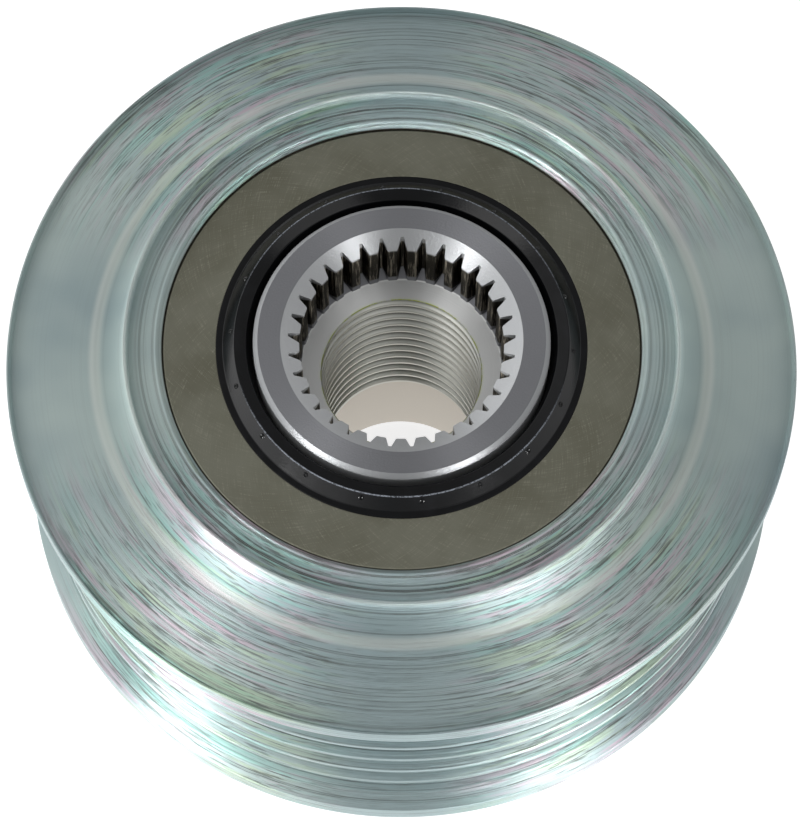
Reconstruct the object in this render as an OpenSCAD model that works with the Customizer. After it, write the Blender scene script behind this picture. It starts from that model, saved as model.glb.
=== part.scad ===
// Overrunning alternator pulley, standing on the rear end of its hub.
// The axis is Z. The origin is the centre of the hub's rear face, and the front faces up.

/* [Belt rim] */
// Diameter over the two flanges
rim_d = 70; // [64:0.5:80]
// Width of the rim from flange face to flange face
rim_w = 27.3; // [25.5:0.1:30]
// Number of belt grooves
groove_count = 6; // [4:1:6]
// Distance between belt grooves
groove_pitch = 3.56; // [3.4:0.02:3.7]
// Angle between the two flanks of a groove
groove_angle = 40; // [36:1:44]
// Width of the land left on a rib
crest_w = 0.6; // [0.4:0.05:0.9]
// Small bevel on each edge of that land
crest_break = 0.12; // [0.05:0.01:0.18]
// Radius at the bottom of a groove
root_r = 0.5; // [0.3:0.05:0.6]
// Height of the flanges above the ribs
flange_h = 1.55; // [0.8:0.05:2.4]
// Slope of the flange's inner face
flange_angle = 28; // [15:1:35]
// Bevel on the flange corners
rim_break = 0.3; // [0.1:0.05:0.6]

/* [Collars of the pulley] */
// Thickness of the front collar at its ridge
collar_w = 3.4; // [2.8:0.05:4]
// Height of the ridge above the flange face
ridge_h = 2.8; // [2.3:0.1:3.2]
// Flat width on top of the ridge
ridge_land = 0.2; // [0.1:0.05:0.4]
// Radius of the sweep from the flange face up to the ridge
sweep_r = 3.4; // [3.2:0.1:4.4]
// Depth of the cap seat inside the ridge
cap_seat_h = 0.95; // [0.6:0.05:1.3]
// Slope of the face inside the cap seat
face_slope = 14; // [4:1:18]
// Width of the bevel that leads into the bore
lead_w = 0.56; // [0.3:0.02:0.8]
// Thickness of the rear collar
rear_collar_w = 3; // [2:0.1:4]
// Radius in the corner behind the rim
rear_fillet = 1.5; // [0.8:0.1:2.5]

/* [Bearing unit] */
// Outside diameter of the outer ring
unit_d = 42; // [40:0.1:43.4]
// Diameter of the outer raceway
race_d = 32; // [31.6:0.1:33]
// Diameter of the inner raceways
hub_d = 26.1; // [25.7:0.1:26.5]
// How far the outer ring stays back from each end of the hub
ring_back = 1.2; // [0.9:0.1:1.8]
// Depth of the seat for seal and washer at each end
seat_h = 3.6; // [3.2:0.1:4.2]
// Step of that seat beyond the raceway
seat_step = 0.33; // [0.25:0.01:0.5]
// Thickness of the thrust washers
washer_t = 1; // [0.7:0.1:1.3]
// Bevel on the ends of the outer ring
ring_break = 0.15; // [0.1:0.01:0.3]

/* [Hub] */
// Length of the hub
hub_l = 41; // [39:0.5:45]
// How far the hub stands out before the front flange face
hub_proud = 3; // [2.9:0.1:3.8]
// Bevel on the ends of the hub
hub_break = 0.35; // [0.2:0.05:0.6]
// Diameter of the hub under the ramp sleeve
core_d = 23.6; // [23.2:0.1:24]
// Outer diameter of the countersink at the front
sink_d = 21.3; // [20.8:0.1:22.6]
// Slope of the countersink
sink_angle = 33; // [25:1:42]
// Number of teeth in the tool serration
tooth_count = 33; // [30:1:36]
// Width of the countersink outside the serration
sink_w = 0.65; // [0.5:0.05:0.9]
// Height of the teeth
tooth_h = 1; // [0.8:0.05:1.1]
// Gap between two teeth at the tips
slot_w = 0.85; // [0.7:0.01:1]
// Gap between two teeth at the bottom
slot_root_w = 0.26; // [0.15:0.01:0.4]
// Depth of the serration below the front face of the hub
spline_depth = 7.6; // [6.5:0.1:9]
// Wall diameter of the threaded bore, M16 x 1.5
thread_d = 14.38; // [14.2:0.02:14.6]
// Length of the threaded bore
thread_l = 19.4; // [17:0.1:21]
// Bevel at the start of the thread
thread_lead = 0.3; // [0.2:0.05:0.5]
// Diameter of the plain bore behind the thread
shaft_d = 17; // [16.6:0.1:17.6]

/* [Clutch] */
// Number of clamping rollers
roller_count = 10; // [8:1:10]
// Diameter of a clamping roller
roller_d = 3.2; // [3.1:0.02:3.3]
// Width of the clutch row over the width of a needle row
row_ratio = 1.62; // [1.4:0.02:1.8]
// Width of the clutch cage beyond each end of a roller
roller_side_w = 1.9; // [1.2:0.1:2.4]
// Gap between a roller and the outer raceway while it overruns
roller_gap = 0.05; // [0.03:0.01:0.08]
// Distance of a roller from the middle of its ramp
roller_x = 1.2; // [0.8:0.05:1.4]
// Gap between a clutch roller and its pocket
pocket_gap = 0.1; // [0.05:0.01:0.2]
// Room for the spring beside a roller
spring_room = 2.8; // [2.4:0.05:3]
// Thickness of the spring strip
spring_t = 0.15; // [0.1:0.01:0.2]
// How far the spring strip stays back from each end of a roller
spring_back = 2; // [1:0.1:3]
// Gap between the clutch cage and what turns or lies beside it
cage_gap = 0.2; // [0.15:0.01:0.3]

/* [Needle rows] */
// Number of needles in a row
needle_count = 14; // [10:1:14]
// Width of a needle cage beyond each end of a needle
needle_side_w = 1.05; // [0.7:0.05:1.4]
// Radial gap between a needle and a raceway
needle_gap = 0.05; // [0.03:0.01:0.08]
// Gap between a needle cage and the raceways
cage_clear = 0.35; // [0.25:0.01:0.45]
// Free play at the sides of each cage
end_play = 0.15; // [0.1:0.01:0.25]

/* [Seals] */
// Width of the seal's flat outer edge
seal_edge_w = 0.58; // [0.4:0.02:0.8]
// Width of the sloping band inside that edge
seal_band_w = 1.06; // [0.8:0.02:1.2]
// Height of the seal above the outer ring
seal_proud = 1; // [0.6:0.05:1.1]
// Gap between the lip and the raceway it runs on
lip_gap = 0.08; // [0.05:0.01:0.15]
// Width of the groove between lip and hub at the mouth
lip_mouth = 0.6; // [0.4:0.02:0.8]

/* [Hidden] */
$fn = 180;
zinc = [0.66, 0.71, 0.73];
ring_steel = [0.36, 0.36, 0.3];
hub_steel = [0.55, 0.56, 0.58];
bright_steel = [0.75, 0.76, 0.78];
spring_steel = [0.5, 0.47, 0.4];
seal_rubber = [0.05, 0.055, 0.06];
cage_nylon = [0.16, 0.2, 0.16];

rim_r = rim_d / 2;
unit_r = unit_d / 2;
race_r = race_d / 2;
hub_r = hub_d / 2;
core_r = core_d / 2;
ridge_r = unit_r + collar_w;
collar_r = unit_r + rear_collar_w;
thread_r = thread_d / 2;
shaft_r = shaft_d / 2;
sink_r = sink_d / 2;
spline_r = sink_r - sink_w;
tip_r = spline_r - tooth_h;
seat_r = race_r + seat_step;

// How far a cut runs past the surface it opens
over = 1;

// Heights of the rim, measured from the rear face of the hub
rim_top = hub_l - hub_proud;
rim_bottom = rim_top - rim_w;
rim_mid = (rim_top + rim_bottom) / 2;
ring_top = hub_l - ring_back;
ring_bottom = ring_back;
seat_top = ring_top - seat_h;
seat_bottom = ring_bottom + seat_h;

// Belt grooves
half_angle = groove_angle / 2;
crest_r = rim_r - flange_h;
half_open = (groove_pitch - crest_w) / 2;
apex_r = crest_r - half_open / tan(half_angle);
root_centre_r = apex_r + root_r / sin(half_angle);
flank_l = root_r / tan(half_angle);
channel_h = (groove_count * groove_pitch - crest_w) / 2;

// Front of the pulley
sweep_dx = sqrt(sweep_r * sweep_r - (sweep_r - ridge_h) * (sweep_r - ridge_h));
sweep_end = acos((sweep_r - ridge_h) / sweep_r);
sweep_steps = 12;
ridge_z = rim_top + ridge_h;
cap_seat_z = ridge_z - cap_seat_h;
cap_seat_step = 0.1;
cap_seat_r = ridge_r - ridge_land - cap_seat_step;
lead_r = unit_r + lead_w;
lead_z = cap_seat_z + (cap_seat_r - lead_r) * tan(face_slope);
collar_back = 0.6;
collar_z = ring_bottom + collar_back;
fillet_steps = 6;

// Bore of the hub
sink_z = hub_l - (sink_r - tip_r) * tan(sink_angle);
ledge_z = hub_l - spline_depth;
ledge_slope = 8;
thread_top = ledge_z - (tip_r - thread_r - thread_lead) * tan(ledge_slope);
thread_bottom = thread_top - thread_l;

// The three rolling rows share the room between the washers
inner_bottom = seat_bottom + end_play;
inner_top = seat_top - end_play;
cage_w = (inner_top - inner_bottom - 2 * end_play) / (2 + row_ratio);
clutch_bottom = inner_bottom + cage_w + end_play;
clutch_top = inner_top - cage_w - end_play;
clutch_mid = (clutch_bottom + clutch_top) / 2;
roller_l = clutch_top - clutch_bottom - 2 * roller_side_w;
spring_w = roller_l - 2 * spring_back;
needle_l = cage_w - 2 * needle_side_w;

// Ramps, rollers and springs of the clutch
roller_r = roller_d / 2;
roller_seat_gap = 0.02;
roller_ring_r = race_r - roller_gap - roller_r;
roller_y = sqrt(roller_ring_r * roller_ring_r - roller_x * roller_x);
ramp_y = roller_y - roller_r - roller_seat_gap;
ramp_step = 360 / roller_count;
ramp_corner_r = ramp_y / cos(ramp_step / 2);
pocket_right = roller_x + roller_r + pocket_gap;
pocket_left = roller_x - roller_r - spring_room;
pocket_h = roller_l + 2 * pocket_gap;
spring_legs = 5;
spring_gap = 0.05;
spring_run = spring_room - spring_gap;
spring_below = 0.9;
spring_above = 0.4;
spring_y_low = roller_y - spring_below;
spring_y_high = roller_y + spring_above;
sleeve_back = 0.4;

// Needles
needle_r = (race_r - hub_r) / 2 - needle_gap;
needle_ring_r = (race_r + hub_r) / 2;
needle_pocket_gap = 0.05;
needle_end_gap = 0.1;

// Lip of a seal
lip_top_drop = 0.3;
lip_foot_h = 0.6;

function arc(x, y, r, from, to, steps) =
    [for (k = [0:steps]) let (a = from + (to - from) * k / steps) [x + r * cos(a), y + r * sin(a)]];

// One belt groove, seen in section
module groove_section() {
    tangent_r = apex_r + flank_l * cos(half_angle);
    tangent_h = flank_l * sin(half_angle);
    bevel_h = half_open - crest_break * tan(half_angle);
    polygon([
        [crest_r + over, half_open + crest_break],
        [crest_r, half_open + crest_break],
        [crest_r - crest_break, bevel_h],
        [tangent_r, tangent_h],
        [tangent_r, -tangent_h],
        [crest_r - crest_break, -bevel_h],
        [crest_r, -half_open - crest_break],
        [crest_r + over, -half_open - crest_break]
    ]);
    translate([root_centre_r, 0]) circle(r = root_r);
}

// The room between the flanges, above the ribs
module channel_section() {
    out = flange_h + over;
    polygon([
        [crest_r, -channel_h],
        [crest_r + out, -channel_h - out * tan(flange_angle)],
        [crest_r + out, channel_h + out * tan(flange_angle)],
        [crest_r, channel_h]
    ]);
}

module pulley_section() {
    polygon(concat(
        [[unit_r, collar_z + lead_w], [unit_r + lead_w, collar_z]],
        [[collar_r - rim_break, collar_z], [collar_r, collar_z + rim_break]],
        arc(collar_r + rear_fillet, rim_bottom - rear_fillet, rear_fillet, 180, 90, fillet_steps),
        [[rim_r - rim_break, rim_bottom], [rim_r, rim_bottom + rim_break]],
        [[rim_r, rim_top - rim_break], [rim_r - rim_break, rim_top]],
        arc(ridge_r + sweep_dx, rim_top + sweep_r, sweep_r, 270, 270 - sweep_end, sweep_steps),
        [[ridge_r - ridge_land, ridge_z], [cap_seat_r, cap_seat_z]],
        [[lead_r, lead_z], [unit_r, ring_top]]
    ));
}

module pulley() {
    color(zinc)
        rotate_extrude()
            difference() {
                pulley_section();
                translate([0, rim_mid]) channel_section();
                for (i = [0:groove_count - 1])
                    translate([0, rim_mid + (i - (groove_count - 1) / 2) * groove_pitch])
                        groove_section();
            }
}

module outer_ring() {
    color(ring_steel)
        rotate_extrude()
            polygon([
                [seat_r, ring_bottom],
                [unit_r - ring_break, ring_bottom],
                [unit_r, ring_bottom + ring_break],
                [unit_r, ring_top - ring_break],
                [unit_r - ring_break, ring_top],
                [seat_r, ring_top],
                [seat_r, seat_top],
                [race_r, seat_top],
                [race_r, seat_bottom],
                [seat_r, seat_bottom]
            ]);
}

// The gaps between the serration teeth, seen from above
module slots() {
    deep = spline_r - tip_r;
    flare = (slot_w - slot_root_w) / 2 / deep;
    for (i = [0:tooth_count - 1])
        rotate(90 + i * 360 / tooth_count)
            polygon([
                [tip_r - over, -slot_w / 2 - over * flare],
                [spline_r, -slot_root_w / 2],
                [spline_r, slot_root_w / 2],
                [tip_r - over, slot_w / 2 + over * flare]
            ]);
}

module inner_ring() {
    color(hub_steel)
        difference() {
            rotate_extrude()
                polygon([
                    [shaft_r + hub_break, 0],
                    [core_r - hub_break, 0],
                    [core_r, hub_break],
                    [core_r, clutch_top],
                    [hub_r, clutch_top],
                    [hub_r, hub_l - hub_break],
                    [hub_r - hub_break, hub_l],
                    [sink_r, hub_l],
                    [tip_r, sink_z],
                    [tip_r, ledge_z],
                    [thread_r + thread_lead, thread_top],
                    [thread_r, thread_top - thread_lead],
                    [thread_r, thread_bottom],
                    [shaft_r, thread_bottom],
                    [shaft_r, hub_break]
                ]);
            translate([0, 0, ledge_z]) linear_extrude(height = spline_depth) slots();
        }
}

module ramp_sleeve() {
    color(bright_steel)
        difference() {
            union() {
                translate([0, 0, sleeve_back]) cylinder(r = hub_r, h = clutch_bottom - sleeve_back);
                translate([0, 0, clutch_bottom])
                    cylinder(r = ramp_corner_r, h = clutch_top - clutch_bottom, $fn = roller_count);
            }
            cylinder(r = core_r, h = hub_l);
        }
}

// Places one piece of the clutch on the ramp with that number
module on_ramp(i) {
    rotate([0, 0, (i - 0.5) * ramp_step - 90]) children();
}

module clutch_roller(i) {
    color(bright_steel)
        on_ramp(i)
            translate([roller_x, roller_y, clutch_mid - roller_l / 2]) cylinder(r = roller_r, h = roller_l);
}

module clutch_spring(i) {
    leg = spring_run / spring_legs;
    fold_h = spring_y_high - spring_y_low;
    rise = spring_t * sqrt(leg * leg + fold_h * fold_h) / leg;
    path = [for (k = [0:spring_legs]) [k * leg, k % 2 == 0 ? spring_y_low : spring_y_high]];
    back = [for (k = [spring_legs:-1:0]) path[k] + [0, rise]];
    color(spring_steel)
        on_ramp(i)
            translate([pocket_left, 0, clutch_mid - spring_w / 2])
                linear_extrude(height = spring_w) polygon(concat(path, back));
}

module clutch_cage() {
    ring_in = ramp_corner_r + cage_gap;
    ring_out = race_r - cage_gap;
    color(cage_nylon)
        difference() {
            translate([0, 0, clutch_bottom])
                rotate_extrude() translate([ring_in, 0]) square([ring_out - ring_in, clutch_top - clutch_bottom]);
            for (i = [1:roller_count])
                on_ramp(i)
                    translate([pocket_left, ramp_y - over, clutch_mid - pocket_h / 2])
                        cube([pocket_right - pocket_left, race_r - ramp_y + over, pocket_h]);
        }
}

module needle_cage(bottom) {
    ring_in = hub_r + cage_clear;
    ring_out = race_r - cage_clear;
    pocket_l = needle_l + 2 * needle_end_gap;
    color(cage_nylon)
        difference() {
            translate([0, 0, bottom])
                rotate_extrude() translate([ring_in, 0]) square([ring_out - ring_in, cage_w]);
            for (i = [1:needle_count])
                rotate([0, 0, i * 360 / needle_count])
                    translate([needle_ring_r, 0, bottom + (cage_w - pocket_l) / 2])
                        cylinder(r = needle_r + needle_pocket_gap, h = pocket_l);
        }
}

module needle(i, bottom) {
    color(bright_steel)
        rotate([0, 0, i * 360 / needle_count])
            translate([needle_ring_r, 0, bottom + (cage_w - needle_l) / 2])
                cylinder(r = needle_r, h = needle_l);
}

module washer(bottom) {
    washer_in = hub_r + cage_clear;
    washer_out = seat_r - needle_gap;
    color(bright_steel)
        translate([0, 0, bottom])
            rotate_extrude() translate([washer_in, 0]) square([washer_out - washer_in, washer_t]);
}

// The front seal; the rear one is its mirror image
module seal() {
    back_z = seat_top + washer_t;
    edge_z = ring_top;
    top_z = ring_top + seal_proud;
    edge_r = seat_r - seal_edge_w;
    top_r = edge_r - seal_band_w;
    mouth_r = hub_r + lip_mouth;
    mouth_z = top_z - lip_top_drop;
    lip_z = (back_z + edge_z) / 2;
    color(seal_rubber)
        rotate_extrude()
            polygon([
                [seat_r, back_z],
                [seat_r, edge_z],
                [edge_r, edge_z],
                [top_r, top_z],
                [mouth_r, mouth_z],
                [hub_r + lip_gap, lip_z],
                [mouth_r, lip_z - lip_foot_h],
                [mouth_r, back_z]
            ]);
}

module rear_side() {
    translate([0, 0, hub_l]) mirror([0, 0, 1]) children();
}

pulley();
outer_ring();
inner_ring();
ramp_sleeve();
clutch_cage();
needle_cage(inner_top - cage_w);  // front_needle_cage
needle_cage(inner_bottom);  // rear_needle_cage
washer(seat_top);  // front_washer
washer(seat_bottom - washer_t);  // rear_washer
seal();  // front_seal
rear_side() seal();  // rear_seal
for (i = [1:roller_count]) {
    clutch_roller(i);
    clutch_spring(i);
}
for (i = [1:needle_count]) {
    needle(i, inner_top - cage_w);
    needle(i, inner_bottom);
}
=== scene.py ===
import math
import bmesh
import bpy
import numpy as np
from mathutils import Euler, Matrix, Vector


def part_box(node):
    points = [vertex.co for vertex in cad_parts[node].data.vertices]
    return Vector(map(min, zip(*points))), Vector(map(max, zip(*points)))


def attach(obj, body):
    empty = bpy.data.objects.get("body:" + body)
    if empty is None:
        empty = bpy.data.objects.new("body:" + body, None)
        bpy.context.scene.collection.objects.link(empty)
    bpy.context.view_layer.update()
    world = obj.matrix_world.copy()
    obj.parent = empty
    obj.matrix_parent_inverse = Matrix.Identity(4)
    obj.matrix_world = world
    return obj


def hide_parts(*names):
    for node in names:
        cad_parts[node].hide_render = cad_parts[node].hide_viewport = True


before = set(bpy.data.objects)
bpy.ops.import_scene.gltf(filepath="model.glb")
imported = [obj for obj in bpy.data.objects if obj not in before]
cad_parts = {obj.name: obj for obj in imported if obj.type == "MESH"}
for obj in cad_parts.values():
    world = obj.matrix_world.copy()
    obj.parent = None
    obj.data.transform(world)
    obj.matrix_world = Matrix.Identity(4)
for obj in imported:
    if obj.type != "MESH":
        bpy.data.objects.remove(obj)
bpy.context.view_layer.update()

mm = 0.001
turn = 2 * math.pi


class Wire:  # one output socket, so that shader maths reads as an expression
    def __init__(self, finish, socket):
        self.finish = finish
        self.socket = socket

    def maths(self, operation, *others):
        inputs = dict(enumerate((self, *others)))
        return self.finish.node("ShaderNodeMath", {"operation": operation}, inputs)

    def __add__(self, other):
        return self.maths("ADD", other)

    def __sub__(self, other):
        return self.maths("SUBTRACT", other)

    def __rsub__(self, other):
        return (self * -1) + other

    def __mul__(self, other):
        return self.maths("MULTIPLY", other)

    def __truediv__(self, other):
        return self.maths("DIVIDE", other)

    __radd__ = __add__
    __rmul__ = __mul__

    def root(self):
        return self.maths("SQRT")

    def between(self, low, high, soft):  # 1 inside the band and 0 outside it, with soft edges
        rise = self.spread(low - soft, low + soft)
        fall = self.spread(high - soft, high + soft)
        return rise * (1 - fall)

    def spread(self, low, high, start=0.0, end=1.0):  # a smooth step from start to end
        inputs = {"Value": self, "From Min": low, "From Max": high, "To Min": start, "To Max": end}
        return self.finish.node("ShaderNodeMapRange", {"interpolation_type": "SMOOTHSTEP"}, inputs)


class Finish:  # one material, with places in millimetres in the part's own frame
    def __init__(self, name, **fixed):
        self.material = bpy.data.materials.new(name)
        self.material.use_nodes = True
        self.tree = self.material.node_tree
        self.shader = self.tree.nodes["Principled BSDF"]
        self.set(**fixed)
        spot = self.node("ShaderNodeTexCoord", output="Object")
        self.place = self.node("ShaderNodeVectorMath", {"operation": "SCALE"}, {0: spot, "Scale": 1 / mm})
        split = self.node("ShaderNodeSeparateXYZ", {}, {0: self.place}).socket.node
        self.x, self.y, self.z = (Wire(self, s) for s in split.outputs)
        self.radius = (self.x * self.x + self.y * self.y).root()
        self.angle = self.y.maths("ARCTAN2", self.x)

    def node(self, kind, settings={}, inputs={}, output=0):
        made = self.tree.nodes.new(kind)
        for name, value in settings.items():
            setattr(made, name, value)
        for name, value in inputs.items():
            self.join(value, made.inputs[name])
        return Wire(self, made.outputs[output])

    def join(self, value, socket):
        if isinstance(value, Wire):
            self.tree.links.new(value.socket, socket)
        elif value is not None:
            socket.default_value = value

    def set(self, **values):  # sockets of the surface shader, such as baseColor for Base Color
        for name, value in values.items():
            words = "".join(" " + c if c.isupper() else c for c in name)
            self.join(value, self.shader.inputs[words.title().replace("Ior", "IOR")])

    def colour(self, first, second, mask):
        both = {6: first, 7: second, 0: mask}
        return self.node("ShaderNodeMix", {"data_type": "RGBA"}, both, 2)

    def noise(self, along, scale, detail=2.0, rough=0.5, kind="3D", fourth=None):
        inputs = {"Scale": scale, "Detail": detail, "Roughness": rough}
        if kind != "1D":
            inputs["Vector"] = along
        if kind in ("1D", "4D"):
            inputs["W"] = along if kind == "1D" else fourth
        return self.node("ShaderNodeTexNoise", {"noise_dimensions": kind}, inputs)

    def vector(self, x, y, z):
        return self.node("ShaderNodeCombineXYZ", {}, {0: x, 1: y, 2: z})

    def relief(self, height, depth, after=None):  # depth in millimetres
        return self.node("ShaderNodeBump", {}, {"Height": height, "Distance": depth * mm, "Normal": after})


def rgb(red, green, blue):  # a colour as it looks on screen, 0 to 255
    linear = [((c / 255 + 0.055) / 1.055) ** 2.4 if c > 10 else c / 255 / 12.92 for c in (red, green, blue)]
    return (*linear, 1.0)


zincFinish = {
    "plain": rgb(196, 211, 208),
    "slate": rgb(169, 187, 190),
    # iridescent tints of the plating, painted as a sheen in the lamps' highlight sectors
    "pink": rgb(212, 184, 200),
    "teal": rgb(160, 208, 200),
    "green": rgb(196, 216, 176),
    "dull": rgb(112, 118, 116),
    # painted highlight colour, for the bright lines on the ridge's crest and at the foot of the sweep
    "crest": rgb(240, 244, 238),
    "seam": rgb(48, 44, 38),
    "sheenStrength": 0.65,
    "toolScale": 3.4,
    "streakScale": (9.0, 6.0),  # round the part, and across the streaks
    "filmScale": (1.7, 0.8),
    "otherScale": (1.6, 0.7),
    "cloudScale": 0.05,
    "lineDepth": 0.06,
    "streakDepth": 0.03,
}


def makeZinc():
    look = zincFinish
    f = Finish("zincPlate", metallic=1.0, anisotropic=0.9, anisotropicRotation=0.25)
    east, north = f.x / f.radius, f.y / f.radius
    nearAndFar = north.maths("ABSOLUTE").spread(0.25, 0.75)  # 1 on the near and far sides, 0 at the left and right; the plating is smoother at the two sides, and this mask also places the painted shade and painted sheen below
    flat, ridge = belt["top"] - belt["ridgeHeight"], belt["ridgeRadius"]
    face = f.z.spread(flat - 0.3, flat - 0.05)
    collar = face * f.radius.spread(ridge + 0.5, ridge)
    sweep = face * f.radius.between(ridge + 0.2, ridge + 2.8, 0.3)
    # painted shade: a dark line in the joint where the pulley meets the bearing ring
    seam = face * f.radius.spread(ring["radius"] + 0.16, ring["radius"] + 0.06)
    section = f.vector(f.radius, f.z, 0.0)
    tool = f.noise(section, look["toolScale"], 4.0, 0.8, "2D")  # tool marks that go all the way round
    around, across = look["streakScale"]
    spot = f.vector(east * around, north * around, f.radius * across)
    streak = f.noise(spot, 1.0, 3.0, 0.6, "4D", f.z * across)
    around, across = look["filmScale"]
    spot = f.vector(east * around, north * around, f.radius * across)
    film = f.noise(spot, 1.0, 4.0, 0.7, "4D", f.z * across)
    around, across = look["otherScale"]
    spot = f.vector(north * around, east * around, f.radius * across + 9.0)  # away from the first film
    other = f.noise(spot, 1.0, 4.0, 0.7, "4D", f.z * across)
    cloud = f.noise(f.place, look["cloudScale"], 3.0, 0.6)
    tint = f.colour(look["plain"], look["slate"], cloud.spread(0.35, 0.7))
    # painted sheen: the plating's iridescent tints go only in the sectors where the lamps' highlights fall,
    # and the streak marks are painted strongest there too
    highlightSector = nearAndFar * east.maths("ABSOLUTE").spread(0.06, 0.4)
    sheenMask = highlightSector * look["sheenStrength"]
    # painted shade: slate on the near and far sides, between the two highlight sectors, where the dark gap
    # between the lamps is reflected
    tint = f.colour(tint, look["slate"], (nearAndFar - highlightSector) * 0.8)
    tint = f.colour(tint, look["pink"], film.spread(0.5, 0.6) * sheenMask)
    tint = f.colour(tint, look["teal"], other.spread(0.5, 0.6) * sheenMask)
    tint = f.colour(tint, look["green"], film.spread(0.46, 0.38) * sheenMask * 0.7)
    marks = tool.spread(0.46, 0.36) * (0.06 + 0.5 * nearAndFar + 0.4 * collar)
    marks = marks + streak.spread(0.49, 0.39) * (0.2 * nearAndFar + 0.5 * highlightSector)
    # painted highlight: a bright line along the ridge's crest
    crest = face * f.radius.between(ridge - belt["ridgeLand"] - 0.06, ridge + 0.1, 0.06)
    footHighlight = face * f.radius.between(ridge + 2.2, ridge + 3.2, 0.3)  # painted highlight: a bright line where the sweep meets the flange
    tint = f.colour(f.colour(tint, look["dull"], marks), look["crest"], crest * 0.25 + footHighlight * 0.5)
    tint = f.colour(tint, look["seam"], seam)
    rough = 0.4 - 0.12 * nearAndFar + 0.12 * tool + 0.06 * cloud + 0.2 * sweep - 0.08 * collar
    depth = 0.15 + 0.65 * nearAndFar + 2.0 * collar
    lines = f.relief(tool * depth, look["lineDepth"], f.relief(streak * nearAndFar, look["streakDepth"]))
    f.set(baseColor=tint, roughness=rough, normal=lines)
    return f.material


ringFinish = {
    "olive": rgb(138, 138, 124),
    "dark": rgb(122, 121, 106),
    "scratch": rgb(156, 155, 140),
    "scratchDepth": 0.005,
    "wheel": 14.0,
    "swirlScale": (130.0, 0.7),
}


def makeGround():
    look = ringFinish
    f = Finish("groundRing", metallic=1.0, anisotropic=0.2)
    arcs = []
    around, across = look["swirlScale"]
    for side in (-1, 1):  # the arcs that a grinding wheel leaves, crossing each other
        swirl = f.angle + side * (f.radius / look["wheel"])
        arcs.append(f.noise(f.vector(swirl * around, f.radius * across, f.z), 1.0, 3.0, 0.7))
    lines = (arcs[0] + arcs[1]) * 0.5
    cloud = f.noise(f.place, 0.12, 3.0, 0.6)
    tint = f.colour(look["olive"], look["dark"], cloud.spread(0.3, 0.7))
    tint = f.colour(tint, look["scratch"], lines.spread(0.52, 0.66))
    f.set(baseColor=tint, roughness=0.36 + 0.1 * arcs[0], normal=f.relief(lines, look["scratchDepth"]))
    return f.material


hubFinish = {
    "face": rgb(144, 145, 149),
    "sink": rgb(186, 188, 190),
    "oil": rgb(40, 37, 31),
    "toothStreak": rgb(150, 143, 130),
    "ledge": rgb(222, 223, 222),
    "thread": rgb(232, 233, 226),
    "groove": rgb(78, 78, 68),
    "coolant": rgb(196, 210, 64),
    "bore": rgb(216, 209, 198),
    "chamfer": rgb(176, 178, 180),
    "lineDepth": 0.006,
    "grainDepth": 0.02,
}


def makeHubSteel():
    look = hubFinish
    f = Finish("hubSteel", metallic=1.0, anisotropic=0.85, anisotropicRotation=0.25)
    root, tip = hub["rootRadius"], hub["tipRadius"]
    inTeeth = f.z.between(hub["ledge"] + 0.9, hub["top"] - 1.0, 0.15)
    inTeeth = inTeeth * f.radius.spread(root + 0.4, root + 0.2)
    below = f.z.between(0.08, hub["ledge"] + 0.09, 0.03) * f.radius.spread(tip + 0.4, tip + 0.2)
    inThread = f.z.spread(hub["threadTop"] - 0.1, hub["threadTop"] - 0.3) * below
    line = f.z.between(hub["threadTop"] - 0.42, hub["threadTop"] - 0.02, 0.05) * below
    # painted shade: the thread's grooves are painted darker
    groove = f.radius.spread(hub["threadInside"] + 0.1, hub["threadInside"] + 0.5) * inThread
    inShaft = f.z.spread(hub["threadLow"] + 0.2, hub["threadLow"] - 0.2) * below
    fine = f.noise(f.radius + f.z, 7.0, 2.0, 0.6, "1D")
    grime = f.noise(f.place, 0.9, 4.0, 0.65)
    speck = f.noise(f.place, 5.0, 2.0, 0.6)
    tint = f.colour(look["face"], look["ledge"], below)
    tint = f.colour(tint, look["thread"], inThread)
    tint = f.colour(tint, look["groove"], groove)
    tint = f.colour(tint, look["coolant"], line * grime.spread(0.38, 0.55))
    tint = f.colour(tint, look["bore"], inShaft)
    # the teeth are painted dark, with lighter streaks along the axis
    toothStreakNoise = f.noise(f.vector(f.x * 4.5, f.y * 4.5, f.z * 0.25), 1.0, 3.0, 0.7)
    oil = f.colour(look["oil"], look["toothStreak"], toothStreakNoise.spread(0.5, 0.64) * 0.9)
    tint = f.colour(tint, oil, inTeeth)
    bevel, sink, top = hub["radius"] - hub["bevel"], hub["sinkRadius"], hub["top"]
    edge = f.radius.spread(bevel - 0.02, bevel + 0.02)
    inSink = f.radius.spread(sink + 0.02, sink - 0.02) * f.z.spread(top - 1.5, top - 1.1)
    tint = f.colour(f.colour(tint, look["sink"], inSink), look["chamfer"], edge)
    rough = 0.44 + 0.08 * fine + 0.06 * speck - 0.16 * below - 0.04 * edge - 0.14 * inSink
    grain = f.relief(speck * (1 - below), look["grainDepth"])
    f.set(baseColor=tint, roughness=rough, normal=f.relief(fine, look["lineDepth"], grain))
    return f.material


rubberFinish = {
    "body": rgb(5, 6, 8),
    "worn": rgb(13, 14, 17),
    # painted highlight colour, for the bright line on the edge of the seal's band
    "edge": rgb(150, 156, 166),
    "grainDepth": 0.003,
}


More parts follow.
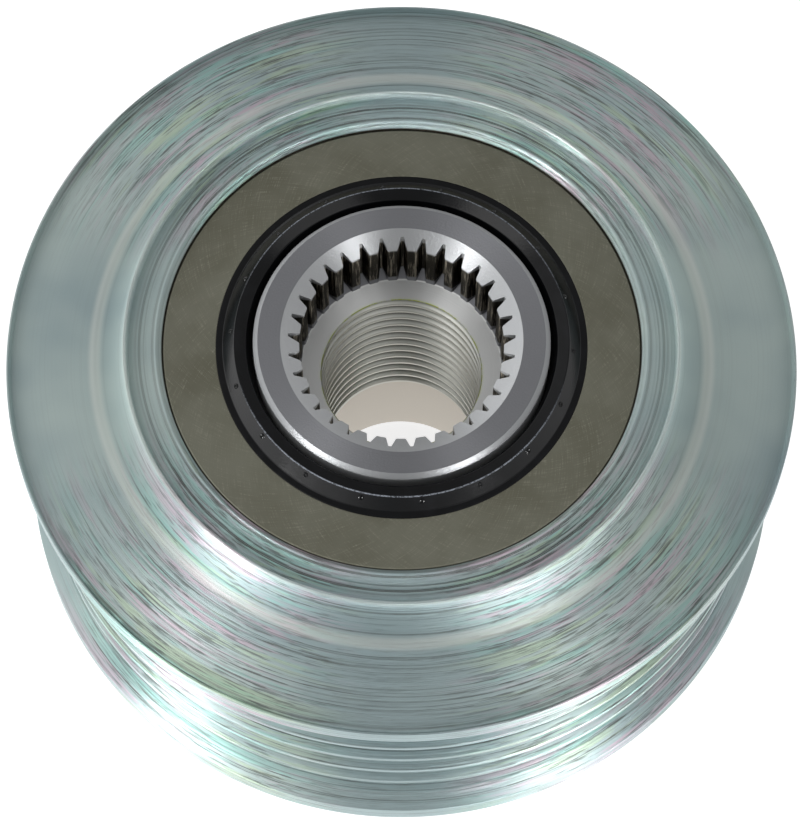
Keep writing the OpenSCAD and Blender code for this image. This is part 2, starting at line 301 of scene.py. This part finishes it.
def makeRubber():
    look = rubberFinish
    f = Finish("sealRubber", metallic=0.0, specularIorLevel=0.3)
    grain = f.noise(f.place, 6.0, 3.0, 0.6)
    cloud = f.noise(f.place, 0.5, 3.0, 0.6)
    tint = f.colour(look["body"], look["worn"], cloud.spread(0.45, 0.75))
    edge = outer["raceRadius"] + outer["seatStep"] - sealSizes["edgeWidth"] - sealSizes["bandWidth"]
    nearAndFar = (f.y / f.radius).maths("ABSOLUTE").spread(0.2, 0.8)
    # painted highlight: a thin bright line along the inner edge of the seal's band, on the near and far
    # sides
    bandHighlight = f.radius.between(edge - 0.05, edge + 0.06, 0.03) * nearAndFar
    tint = f.colour(tint, look["edge"], bandHighlight * grain.spread(0.3, 0.6) * 0.7)
    f.set(baseColor=tint, roughness=0.08 + 0.1 * cloud, normal=f.relief(grain, look["grainDepth"]))
    return f.material


hardFinish = {"ground": rgb(190, 190, 186), "oiled": rgb(150, 148, 138), "lineDepth": 0.004}


def makeHardSteel():
    look = hardFinish
    f = Finish("hardSteel", metallic=1.0)
    cloud = f.noise(f.place, 0.4, 3.0, 0.6)
    fine = f.noise(f.z, 9.0, 2.0, 0.6, "1D")
    tint = f.colour(look["ground"], look["oiled"], cloud.spread(0.4, 0.7))
    f.set(baseColor=tint, roughness=0.24 + 0.1 * cloud, normal=f.relief(fine, look["lineDepth"]))
    return f.material


springFinish = {"strip": rgb(170, 160, 138), "blued": rgb(118, 112, 112), "grainDepth": 0.01}


def makeSpringSteel():
    look = springFinish
    f = Finish("springSteel", metallic=1.0)
    cloud = f.noise(f.place, 1.2, 3.0, 0.6)
    tint = f.colour(look["strip"], look["blued"], cloud.spread(0.4, 0.7))
    f.set(baseColor=tint, roughness=0.3 + 0.12 * cloud, normal=f.relief(cloud, look["grainDepth"]))
    return f.material


nylonFinish = {"body": rgb(70, 78, 68), "pale": rgb(96, 104, 92), "grainDepth": 0.015}


def makeNylon():
    look = nylonFinish
    f = Finish("cageNylon", metallic=0.0)
    grain = f.noise(f.place, 4.0, 3.0, 0.6)
    cloud = f.noise(f.place, 0.5, 3.0, 0.6)
    tint = f.colour(look["body"], look["pale"], cloud.spread(0.4, 0.7))
    f.set(baseColor=tint, roughness=0.45 + 0.15 * grain, normal=f.relief(grain, look["grainDepth"]))
    return f.material


def softCorners(outline, steps=4, hold=0.05, long=1.0):  # points are (radius, height, corner radius)
    points = []
    for k, (r, z, soft) in enumerate(outline):
        here = Vector((r, z))
        before = Vector(outline[k - 1][:2]) - here
        after = Vector(outline[(k + 1) % len(outline)][:2]) - here
        half = before.angle(after) / 2
        reach = min(soft / max(math.tan(half), 0.05), before.length * 0.48, after.length * 0.48)
        if soft == 0 or half > math.radians(88):
            points.append((r, z))
            continue
        start, end = here + before.normalized() * reach, here + after.normalized() * reach
        if before.length > long:  # a second point keeps the flat beside the corner flat in the shading
            points.append(tuple(here + before.normalized() * (reach + hold)))
        for i in range(steps + 1):
            t = i / steps
            p = start * (1 - t) ** 2 + here * 2 * t * (1 - t) + end * t * t
            points.append((p.x, p.y))
        if after.length > long:
            points.append(tuple(here + after.normalized() * (reach + hold)))
    return points


def ringsToPiece(name, rings, joinsTo=None, sharp=24):  # rings of points in millimetres
    rings = np.asarray(rings, float) * mm
    count, around = rings.shape[:2]
    mesh = bpy.data.meshes.new(name)
    faces = []
    for i in range(count):
        a, b = i * around, (i + 1) % count * around
        faces += [(a + j, a + j + 1, b + j + 1, b + j) for j in range(around - 1)]
        ends = [joinsTo(row % count) if joinsTo else row % count for row in (i, i + 1)]
        c, d = (around * row for row in ends)
        faces.append((a + around - 1, c, d, b + around - 1))  # a thread's ring ends at the next turn
    mesh.from_pydata(rings.reshape(-1, 3).tolist(), [], faces)
    tidyMesh(mesh, sharp)
    piece = bpy.data.objects.new(name, mesh)
    bpy.context.scene.collection.objects.link(piece)
    return piece


def tidyMesh(mesh, sharp):
    work = bmesh.new()
    work.from_mesh(mesh)
    bmesh.ops.remove_doubles(work, verts=work.verts, dist=0.002 * mm)
    bmesh.ops.dissolve_degenerate(work, edges=work.edges, dist=0.001 * mm)
    bmesh.ops.recalc_face_normals(work, faces=work.faces)
    work.to_mesh(mesh)
    work.free()
    mesh.polygons.foreach_set("use_smooth", [True] * len(mesh.polygons))
    mesh.set_sharp_from_angle(angle=math.radians(sharp))


def lathe(name, outline, around=360):  # outline is a closed section of (radius, height)
    angles = np.arange(around) * turn / around
    radii = np.array([p[0] for p in outline])[:, None]
    heights = np.array([p[1] for p in outline])[:, None]
    ones = np.ones_like(angles)[None, :]
    return ringsToPiece(name, np.stack([radii * np.cos(angles), radii * np.sin(angles), heights * ones], 2))


def dress(piece, material, body, node):
    piece.data.materials.clear()
    piece.data.materials.append(material)
    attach(piece, body)
    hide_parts(node)
    return piece


def sizeOf(node):  # radius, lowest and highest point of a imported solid, in millimetres
    low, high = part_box(node)
    return high.x / mm, low.z / mm, high.z / mm


ring = dict(zip(("radius", "low", "top"), sizeOf("outer_ring")))
hub = dict(zip(("radius", "low", "top"), sizeOf("inner_ring")))
hub.update(
    teeth=33,
    sinkRadius=10.65,
    rootRadius=10.0,
    tipRadius=9.0,
    sinkSlope=33,
    slotWidth=0.85,
    slotRoot=0.26,
    slotDepth=7.6,
    ledgeSlope=8,
    threadInside=7.19,
    threadOutside=8.0,
    threadPitch=1.5,
    threadLength=19.4,
    threadLead=0.3,
    threadRunIn=0.35,
    shaftRadius=8.5,
    coreRadius=11.8,
    edge=0.35,
    bevel=0.42,
    runOut=0.75,
    shoulder=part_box("clutch_cage")[1].z / mm,
    threadBreak=0.08,
)
hub["ledge"] = hub["top"] - hub["slotDepth"]
ledgeWidth = hub["tipRadius"] - hub["threadInside"] - hub["threadLead"]
hub["threadTop"] = hub["ledge"] - ledgeWidth * math.tan(math.radians(hub["ledgeSlope"]))
hub["threadLow"] = hub["threadTop"] - hub["threadLength"]

belt = dict(zip(("radius", "low", "top"), sizeOf("pulley")))
belt.update(
    rimWidth=27.3,
    ridgeHeight=2.8,
    ridgeRadius=24.4,
    ridgeLand=0.2,
    sweep=3.4,
    capSeat=0.95,
    faceSlope=14,
    leadWidth=0.56,
    grooves=6,
    pitch=3.56,
    grooveAngle=40,
    crest=0.6,
    rootSoft=0.5,
    flangeHeight=1.55,
    flangeSlope=28,
    rearRadius=24.0,
    rearFillet=1.5,
    rimEdge=0.3,
    flangeEdge=0.12,
    crestEdge=0.16,
    outerCrestEdge=0.05,
    rootEdge=0.42,
    leadEdge=0.05,
    seatStep=0.1,
    boreStep=5,
)


def beltSection():
    b = belt
    top = b["top"] - b["ridgeHeight"]
    low = top - b["rimWidth"]
    middle = (top + low) / 2
    crestRadius = b["radius"] - b["flangeHeight"]
    halfOpen = (b["pitch"] - b["crest"]) / 2
    tangent = math.tan(math.radians(b["grooveAngle"] / 2))
    apex = crestRadius - halfOpen / tangent
    rootRadius = apex + b["rootSoft"] * (1 / math.sin(math.radians(b["grooveAngle"] / 2)) - 1)
    rootHalf = (rootRadius - apex) * tangent
    reach = (b["grooves"] * b["pitch"] - b["crest"]) / 2
    slope = b["flangeHeight"] * math.tan(math.radians(b["flangeSlope"]))
    seatZ = b["top"] - b["capSeat"]
    seatRadius = b["ridgeRadius"] - b["ridgeLand"] - b["seatStep"]
    leadRadius = ring["radius"] + b["leadWidth"]
    leadZ = seatZ + (seatRadius - leadRadius) * math.tan(math.radians(b["faceSlope"]))
    line = [(ring["radius"], b["low"] + b["leadWidth"], b["leadEdge"])]
    line.append((leadRadius, b["low"], b["leadEdge"]))
    line += [(b["rearRadius"], b["low"], b["rimEdge"]), (b["rearRadius"], low, b["rearFillet"])]
    line += [(b["radius"], low, b["rimEdge"]), (b["radius"], middle - reach - slope, b["flangeEdge"])]
    for k in range(b["grooves"]):
        z = middle + (k - (b["grooves"] - 1) / 2) * b["pitch"]
        first, last = k == 0, k == b["grooves"] - 1
        line.append((crestRadius, z - halfOpen, b["outerCrestEdge" if first else "crestEdge"]))
        line.append((rootRadius, z - rootHalf, b["rootEdge"]))
        line.append((rootRadius, z + rootHalf, b["rootEdge"]))
        line.append((crestRadius, z + halfOpen, b["outerCrestEdge" if last else "crestEdge"]))
    line += [(b["radius"], middle + reach + slope, b["flangeEdge"]), (b["radius"], top, b["rimEdge"])]
    points = softCorners(line, 3)
    across = math.sqrt(b["sweep"] ** 2 - (b["sweep"] - b["ridgeHeight"]) ** 2)
    full = math.acos((b["sweep"] - b["ridgeHeight"]) / b["sweep"])
    steps = 16
    centre = (b["ridgeRadius"] + across, top + b["sweep"])
    for k in range(steps + 1):
        a = math.radians(270) - full * k / steps
        points.append((centre[0] + b["sweep"] * math.cos(a), centre[1] + b["sweep"] * math.sin(a)))
    inner = [(b["ridgeRadius"] - b["ridgeLand"], b["top"], 0.06), (seatRadius, seatZ, 0.08)]
    inner += [(leadRadius, leadZ, 0.1), (ring["radius"], ring["top"], 0.02)]
    inner.append((ring["radius"], b["low"] + b["boreStep"], 0))
    start = (b["ridgeRadius"], b["top"], 0)
    return points + softCorners([start, *inner])[1:-1]


def makePulley(material):
    piece = lathe("beltPulley", beltSection(), 400)
    return dress(piece, material, "pulley_body", "pulley")


outer = {"raceRadius": 16.0, "seatStep": 0.33, "seatDepth": 3.6, "edge": 0.15}


def makeOuterRing(material):
    seat = outer["raceRadius"] + outer["seatStep"]
    low, top = ring["low"], ring["top"]
    line = [(seat, low, 0.05), (ring["radius"], low, outer["edge"]), (ring["radius"], top, outer["edge"])]
    under, over = top - outer["seatDepth"], low + outer["seatDepth"]
    line += [(seat, top, 0.05), (seat, under, 0), (outer["raceRadius"], under, 0)]
    line += [(outer["raceRadius"], over, 0), (seat, over, 0)]
    piece = lathe("bearingRing", softCorners(line), 360)
    return dress(piece, material, "pulley_body", "outer_ring")


sealSizes = {
    "edgeWidth": 0.58,
    "bandWidth": 1.06,
    "lipMouth": 0.6,
    "lipGap": 0.08,
    "lipDrop": 0.3,
    "footHeight": 0.6,
    "pips": 18,
    "pipRadius": 15.05,
    "pipWidth": 0.5,
    "pipWall": 0.1,
    "pipStart": -3,
}


def sealSection():
    s = sealSizes
    seat = outer["raceRadius"] + outer["seatStep"]
    low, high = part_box("front_seal")
    back, top = low.z / mm, high.z / mm
    edge = ring["top"]
    lipZ = (back + edge) / 2
    mouth = hub["radius"] + s["lipMouth"]
    line = [(seat, back, 0), (seat, edge, 0.06), (seat - s["edgeWidth"], edge, 0.12)]
    line += [(seat - s["edgeWidth"] - s["bandWidth"], top, 0.09), (mouth, top - s["lipDrop"], 0.18)]
    line += [(hub["radius"] + s["lipGap"], lipZ, 0.05), (mouth, lipZ - s["footHeight"], 0.1)]
    line.append((mouth, back, 0))
    return softCorners(line)


def makeSeal(name, material, node, front):
    s = sealSizes
    piece = lathe(name, sealSection(), 360)
    work = bmesh.new()
    work.from_mesh(piece.data)
    seat = outer["raceRadius"] + outer["seatStep"]
    inside = seat - s["edgeWidth"] - s["bandWidth"]
    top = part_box("front_seal")[1].z / mm
    share = (s["pipRadius"] - inside) / s["bandWidth"]
    height = top + (ring["top"] - top) * share
    lean = math.atan2(top - ring["top"], s["bandWidth"])
    for k in range(s["pips"]):
        spin = math.radians(s["pipStart"]) + turn * k / s["pips"]
        place = Matrix.Rotation(spin, 4, "Z") @ Matrix.Translation(Vector((s["pipRadius"], 0, height)) * mm)
        addPip(work, place @ Matrix.Rotation(lean, 4, "Y"), s["pipWidth"] / 2, s["pipWall"])
    if not front:
        bmesh.ops.transform(work, matrix=Matrix.Diagonal((1, 1, -1, 1)), verts=work.verts)
        bmesh.ops.translate(work, vec=(0, 0, hub["top"] * mm), verts=work.verts)
    bmesh.ops.recalc_face_normals(work, faces=work.faces)
    work.to_mesh(piece.data)
    work.free()
    piece.data.polygons.foreach_set("use_smooth", [True] * len(piece.data.polygons))
    piece.data.set_sharp_from_angle(angle=math.radians(30))
    return dress(piece, material, "pulley_body", node)


def addPip(work, place, radius, wall, around=20, tube=8):  # a tiny moulded ring
    grid = []
    for i in range(around):
        a = turn * i / around
        row = []
        for j in range(tube):
            b = turn * j / tube
            r = radius - wall + wall * math.cos(b)
            spot = Vector((r * math.cos(a), r * math.sin(a), wall * 0.7 * math.sin(b))) * mm
            row.append(work.verts.new(place @ spot))
        grid.append(row)
    for i in range(around):
        for j in range(tube):
            k, m = (i + 1) % around, (j + 1) % tube
            work.faces.new((grid[i][j], grid[k][j], grid[k][m], grid[i][m]))


def serration():  # angles of one turn of tooth tips and slots, and the radius at each
    angles, radii = [], []
    pitch = turn / hub["teeth"]
    tipHalf = hub["slotWidth"] / 2 / hub["tipRadius"]
    rootHalf = hub["slotRoot"] / 2 / hub["rootRadius"]
    tip, root = hub["tipRadius"], hub["rootRadius"]
    soft, step = 0.08, 0.001  # the tooth tip's corner in millimetres, and a small angle
    steps = [(-rootHalf, root), (rootHalf, root), (rootHalf + (tipHalf - rootHalf) * 0.5, (tip + root) / 2)]
    flat = 3  # points along the flat tip
    left = pitch - tipHalf - soft / tip
    right = tipHalf + soft / tip
    steps += [(tipHalf - step, tip + soft), (right, tip)]
    steps += [(right + (left - right) * (k + 1) / (flat + 1), tip) for k in range(flat)]
    steps += [(left, tip), (pitch - tipHalf + step, tip + soft)]
    steps += [(pitch - rootHalf - (tipHalf - rootHalf) * 0.5, (tip + root) / 2)]
    for k in range(hub["teeth"]):
        start = turn / 4 + k * pitch
        angles += [start + a for a, r in steps]
        radii += [r for a, r in steps]
    return np.array(angles), np.array(radii)


def threadRows(angles):  # rings down the threaded bore, each on its own helix, and their count in one turn
    h = hub
    depth = h["threadOutside"] - h["threadInside"]
    flank = depth * math.tan(math.radians(30))
    crest = h["threadPitch"] / 4
    low, top = h["threadLow"], h["threadTop"] - h["threadBreak"]
    soft, nick = 0.05, 0.03  # how far a corner of the thread reaches along and across
    shape = [(0, 0), (crest - soft, 0), (crest, nick), (crest + flank, 1 - nick), (crest + flank + soft, 1)]
    back = h["threadPitch"] - flank
    shape += [(back - soft, 1), (back, 1 - nick), (h["threadPitch"] - soft, nick)]
    climb = h["threadPitch"] * (angles - angles[0]) / turn
    rows = []
    turns = int((top - low) / h["threadPitch"]) + 2
    for k in range(turns, -2, -1):
        for offset, cut in reversed(shape):
            z = low + k * h["threadPitch"] + offset + climb
            fade = np.clip(np.minimum(top - z, z - low) / h["threadRunIn"], 0, 1)
            radius = h["threadInside"] + depth * cut * fade
            rows.append((radius, np.clip(z, low, top)))
    return rows, len(shape)


def makeHub(material):
    h = hub
    angles, cut = serration()
    same = np.ones_like(angles)
    slope = math.tan(math.radians(h["sinkSlope"]))
    rows = []
    outside = [(h["shaftRadius"], h["low"], h["edge"]), (h["coreRadius"], h["low"], h["edge"])]
    outside += [(h["coreRadius"], h["shoulder"], 0), (h["radius"], h["shoulder"], 0.05)]
    outside += [(h["radius"], h["top"] - h["bevel"], 0.04), (h["radius"] - h["bevel"], h["top"], 0.04)]
    outside += [(h["sinkRadius"], h["top"], 0.04), (h["sinkRadius"] - 2, h["top"] - 2 * slope, 0)]
    for r, z in softCorners(outside, 3)[:-1]:
        rows.append((r * same, z * same))
    coneZ = h["top"] - (h["sinkRadius"] - cut) * slope
    rows.append((cut, coneZ))
    rows.append((cut, h["ledge"] + (cut - h["tipRadius"]) * h["runOut"]))
    rows.append((h["tipRadius"] * same, h["ledge"] * same))
    rows.append(((h["threadInside"] + h["threadBreak"]) * same, h["threadTop"] * same))
    first = len(rows)
    thread, perTurn = threadRows(angles)
    rows += thread
    last = len(rows) - 1
    rows.append((h["threadInside"] * same, h["threadLow"] * same))
    rows.append((h["shaftRadius"] * same, h["threadLow"] * same))
    rings = [np.stack([r * np.cos(angles), r * np.sin(angles), z * same], 1) for r, z in rows]

    def joinsTo(i):
        return max(first, i - perTurn) if first <= i <= last else i

    piece = ringsToPiece("splinedHub", np.array(rings), joinsTo, 9)
    return dress(piece, material, "hub", "inner_ring")


def paintNodes(materials):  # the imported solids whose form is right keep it, and get a finish
    finishes = {"ramp_sleeve": "hard", "clutch_cage": "nylon", "needle_cage": "nylon", "washer": "hard"}
    finishes.update({"clutch_roller": "hard", "clutch_spring": "spring", "needle": "hard"})
    for name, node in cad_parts.items():
        kind = next((finishes[k] for k in finishes if k in name), None)
        if kind:
            node.data.materials.clear()
            node.data.materials.append(materials[kind])


view = {
    "focal": 3287.8,
    "imageWidth": 800,
    "imageHeight": 822,
    "target": (0, 0, 38.0),
    "elevation": 66.96,
    "distance": 290.5,
    "lean": (1.03, 0.02, 0.45),
}


def makeCamera():
    v = view
    data = bpy.data.cameras.new("camera")
    data.sensor_width = 36
    data.lens = v["focal"] / max(v["imageWidth"], v["imageHeight"]) * data.sensor_width
    data.clip_start, data.clip_end = 0.01, 20
    camera = bpy.data.objects.new("camera", data)
    bpy.context.scene.collection.objects.link(camera)
    rise = math.radians(v["elevation"])
    target = Vector(v["target"]) * mm
    spot = target + Vector((0, -math.cos(rise), math.sin(rise))) * v["distance"] * mm
    ahead = (target - spot).normalized()
    right = ahead.cross(Vector((0, 0, 1))).normalized()
    up = right.cross(ahead)
    lean = Euler([math.radians(a) for a in v["lean"]], "XYZ").to_matrix()
    rows = lean @ Matrix((right, -up, ahead))
    axes = Matrix((rows[0], -rows[1], -rows[2])).transposed()
    camera.matrix_world = Matrix.Translation(spot) @ axes.to_4x4()
    bpy.context.scene.camera = camera


lamps = {  # direction from the part, metres away, two sides in metres, and watts
    "left": ((-0.37, -0.25, 0.89), 0.8, (0.24, 0.24), 0.22),
    "right": ((0.28, -0.25, 0.92), 0.8, (0.24, 0.24), 0.18),
    "farLeft": ((-0.3, -0.03, 0.95), 0.8, (0.2, 0.2), 0.22),
    "farRight": ((0.26, 0.0, 0.96), 0.8, (0.2, 0.2), 0.12),
    "lowLeft": ((-0.74, -0.66, 0.1), 0.7, (0.2, 0.2), 3.2),
    "lowRight": ((0.57, -0.82, 0.1), 0.7, (0.2, 0.2), 3.4),
}


def makeLights():
    for name, (direction, distance, sides, power) in lamps.items():
        data = bpy.data.lights.new(name, "AREA")
        data.shape = "RECTANGLE"
        data.size, data.size_y = sides
        data.energy = power
        lamp = bpy.data.objects.new(name, data)
        bpy.context.scene.collection.objects.link(lamp)
        way = Vector(direction).normalized()
        across = Vector((0, 1, 0)).cross(way).normalized()
        axes = Matrix((across, way.cross(across), way)).transposed()
        spot = Vector((0, 0, hub["top"])) * mm + way * distance
        lamp.matrix_world = Matrix.Translation(spot) @ axes.to_4x4()
        lamp.visible_camera = False


room = {
    "horizon": 1.0,
    "ceiling": 0.33,
    "wallTop": (0.12, 0.55),
    "leftGain": 1.4,
    "rightGain": 0.3,
    "floorColour": (0.42, 0.42, 0.42, 1),
    "floorLift": 0.8,
    "floorSize": 3.0,
    "floorDrop": 0.02,
    "sides": (0.05, 0.6),
}


def makeWorld():
    world = bpy.data.worlds.new("studio")
    bpy.context.scene.world = world
    world.use_nodes = True
    nodes, links = world.node_tree.nodes, world.node_tree.links
    split = nodes.new("ShaderNodeSeparateXYZ")
    links.new(nodes.new("ShaderNodeTexCoord").outputs["Generated"], split.inputs[0])
    start, end = room["sides"]
    fades = [("Z", (*room["wallTop"], room["horizon"], room["ceiling"]))]
    fades.append(("X", (-start, -end, 1.0, 1.0 + room["leftGain"])))
    fades.append(("X", (start, end, 1.0, 1.0 + room["rightGain"])))
    strength = nodes.new("ShaderNodeValue").outputs[0]
    strength.default_value = 1.0
    for axis, values in fades:
        fade = nodes.new("ShaderNodeMapRange")
        fade.interpolation_type = "SMOOTHSTEP"
        for name, value in zip(("From Min", "From Max", "To Min", "To Max"), values):
            fade.inputs[name].default_value = value
        links.new(split.outputs[axis], fade.inputs["Value"])
        product = nodes.new("ShaderNodeMath")
        product.operation = "MULTIPLY"
        links.new(fade.outputs[0], product.inputs[0])
        links.new(strength, product.inputs[1])
        strength = product.outputs[0]
    links.new(strength, nodes["Background"].inputs["Strength"])
    nodes["Background"].inputs["Color"].default_value = (1, 1, 1, 1)


def makeFloor():
    half, low = room["floorSize"] / 2, -room["floorDrop"] * mm
    corners = [(-half, -half, low), (half, -half, low), (half, half, low), (-half, half, low)]
    mesh = bpy.data.meshes.new("floor")
    mesh.from_pydata(corners, [], [(0, 1, 2, 3)])
    floor = bpy.data.objects.new("floor", mesh)
    bpy.context.scene.collection.objects.link(floor)
    f = Finish("paleFloor", roughness=0.9, baseColor=room["floorColour"])
    seen = f.node("ShaderNodeLightPath", output="Is Camera Ray")
    path = seen.socket.node
    for name in ("Is Glossy Ray", "Is Transmission Ray"):
        seen = seen.maths("MAXIMUM", Wire(f, path.outputs[name]))
    glow = f.node("ShaderNodeEmission", {}, {"Color": (1, 1, 1, 1), "Strength": seen * room["floorLift"]})
    both = f.node("ShaderNodeAddShader", {}, {0: Wire(f, f.shader.outputs[0]), 1: glow})
    f.join(both, f.tree.nodes["Material Output"].inputs["Surface"])
    mesh.materials.append(f.material)


print("camera, lights and room")
makeCamera()
makeLights()
makeWorld()
makeFloor()
print("materials")
materials = {"hard": makeHardSteel(), "spring": makeSpringSteel(), "nylon": makeNylon()}
rubber = makeRubber()
print("pulley and bearing")
makePulley(makeZinc())
makeOuterRing(makeGround())
print("hub")
makeHub(makeHubSteel())
print("seals and inner pieces")
makeSeal("frontSeal", rubber, "front_seal", True)
makeSeal("rearSeal", rubber, "rear_seal", False)
paintNodes(materials)
bpy.context.scene.view_settings.view_transform = "Standard"
